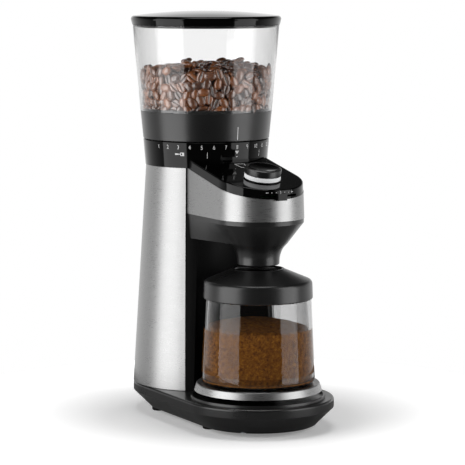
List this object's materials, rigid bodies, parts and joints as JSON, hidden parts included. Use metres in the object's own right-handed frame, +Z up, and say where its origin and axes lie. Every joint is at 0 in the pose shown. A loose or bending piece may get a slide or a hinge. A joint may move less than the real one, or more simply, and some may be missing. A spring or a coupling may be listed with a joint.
{
  "type": "burr coffee grinder",
  "caption": "Upright conical burr grinder with clear bean hopper, sloped control nose with dial, funnel spout, and a tinted jar on a scale platform.",
  "frame": {"origin": "on the table under the middle of the grinder, at the underside of the rubber feet", "axes": "+Z up along the column, -Y to the front where the spout and the jar are, +X to the right seen from behind"},
  "size_m": [0.15, 0.2558, 0.4013],
  "materials": {
    "steel": "brushed along the round of the column",
    "gloss_black": "gloss",
    "satin_black": "fine satin texture",
    "dark_grey": "satin",
    "clear": "clear moulded plastic",
    "smoke_clear": "tinted clear moulded plastic",
    "light_diffuser": "translucent white",
    "rubber": "matte",
    "hard_steel": "ground",
    "zinc_screw": "zinc plated",
    "nylon": "moulded nylon",
    "glass_nylon": "glass-filled nylon",
    "aluminium": "machined",
    "bronze": "sintered",
    "board_green": "solder resist",
    "copper_core": "lacquered copper and laminated steel"
  },
  "bodies": {
    "grinder": {"collar_ring": "gloss_black", "column_shell": "steel", "column_housing": "satin_black", "nose_band": "steel", "control_panel": "gloss_black", "dial_base": "gloss_black", "light_ring": "light_diffuser", "spout_funnel": "dark_grey", "base_top": "dark_grey", "base_pan": "dark_grey", "feet": "rubber", "preload_spring": "hard_steel", "grind_chamber": "glass_nylon", "grounds_chute": "satin_black", "upper_bearing": "hard_steel", "lower_bush": "bronze", "shaft_seal": "rubber", "counter_pin": "hard_steel", "gearbox_cover": "glass_nylon", "gearbox_base": "glass_nylon", "gearbox_plate": "aluminium", "gearbox_screws": "zinc_screw", "motor_can": "hard_steel", "motor_cap": "glass_nylon", "motor_stator": "copper_core", "motor_cushion": "rubber", "motor_cradle": "glass_nylon", "power_board": "board_green", "control_board": "board_green", "nose_housing": "satin_black", "load_cell": "aluminium", "load_cell_screws": "zinc_screw", "base_screws": "zinc_screw", "cord_bushing": "rubber"},
    "grind_setter": {"adjusting_ring": "nylon"},
    "burr_lift": {"burr_carrier": "glass_nylon", "upper_burr": "hard_steel"},
    "hopper": {"hopper_base": "dark_grey", "hopper_body": "clear", "gate_pin": "hard_steel"},
    "lid": {"hopper_lid": "gloss_black", "lid_gasket": "rubber"},
    "gate": {"hopper_gate": "nylon"},
    "burr_drive": {"burr_shaft": "hard_steel", "lower_burr": "hard_steel", "burr_nut": "hard_steel", "impeller": "nylon", "output_gear": "nylon"},
    "counter": {"counter_gear": "nylon"},
    "rotor": {"motor_rotor": "copper_core", "motor_pinion": "hard_steel"},
    "dial": {"dial_knob": "dark_grey", "button_spring": "hard_steel"},
    "button": {"start_button": "gloss_black"},
    "slider": {"strength_slider": "gloss_black"},
    "platform": {"platform_cover": "steel", "platform_hub": "satin_black"},
    "jar": {"grounds_jar": "smoke_clear"},
    "jar_cover": {"jar_lid": "dark_grey"}
  },
  "joints": [
    {"name": "grind_setting", "type": "hinge", "parent": "grinder", "child": "grind_setter", "pos_m": [0, 0.0529, 0.26], "axis": [0, 0, 1], "range_deg": [-77, 77]},
    {"name": "burr_gap", "type": "slide", "parent": "grinder", "child": "burr_lift", "axis": [0, 0, 1], "range_m": [-0.0005, 0.0005], "deforming": ["preload_spring"]},
    {"name": "hopper_lift", "type": "slide", "parent": "grind_setter", "child": "hopper", "axis": [0, 0, 1], "range_m": [0, 0.15]},
    {"name": "lid_lift", "type": "slide", "parent": "hopper", "child": "lid", "axis": [0, 0, 1], "range_m": [0, 0.08]},
    {"name": "gate_turn", "type": "hinge", "parent": "hopper", "child": "gate", "pos_m": [0.01892, 0.07354, 0.2726], "axis": [0, 0, 1], "range_deg": [-85, 0]},
    {"name": "burr_spin", "type": "hinge", "parent": "grinder", "child": "burr_drive", "pos_m": [0, 0.0529, 0.2], "axis": [0, 0, 1], "continuous": true},
    {"name": "counter_spin", "type": "hinge", "parent": "grinder", "child": "counter", "pos_m": [0, 0.0779, 0.165], "axis": [0, 0, 1], "continuous": true},
    {"name": "rotor_spin", "type": "hinge", "parent": "grinder", "child": "rotor", "pos_m": [0, 0.0529, 0.11], "axis": [0, 0, 1], "continuous": true},
    {"name": "dial_turn", "type": "hinge", "parent": "grinder", "child": "dial", "pos_m": [0, -0.06158, 0.2425], "axis": [0, -0.2079, 0.9781], "continuous": true},
    {"name": "start_press", "type": "slide", "parent": "dial", "child": "button", "axis": [0, -0.2079, 0.9781], "range_m": [-0.0011, 0], "stiffness_N_per_m": 1200, "springref_m": 0.0003, "deforming": ["button_spring"]},
    {"name": "strength_slide", "type": "hinge", "parent": "grinder", "child": "slider", "pos_m": [0, -0.0541, 0.2293], "axis": [0, 0, 1], "range_deg": [-18, 18]},
    {"name": "scale_press", "type": "slide", "parent": "grinder", "child": "platform", "axis": [0, 0, 1], "range_m": [-0.0004, 0], "stiffness_N_per_m": 40000, "springref_m": 0.00025, "deforming": ["load_cell"]},
    {"name": "jar_slide", "type": "slide", "parent": "platform", "child": "jar", "axis": [0, -1, 0], "range_m": [0, 0.13]},
    {"name": "jar_lid_twist", "type": "hinge", "parent": "jar", "child": "jar_cover", "pos_m": [0, -0.0541, 0.14], "axis": [0, 0, 1], "range_deg": [0, 30]}
  ],
  "couplings": [
    {"joint": "burr_gap", "follows": "grind_setting", "m_per_rad": 0.00037205},
    {"joint": "counter_spin", "follows": "burr_spin", "ratio": -2.5714},
    {"joint": "rotor_spin", "follows": "burr_spin", "ratio": 8.1429}
  ]
}
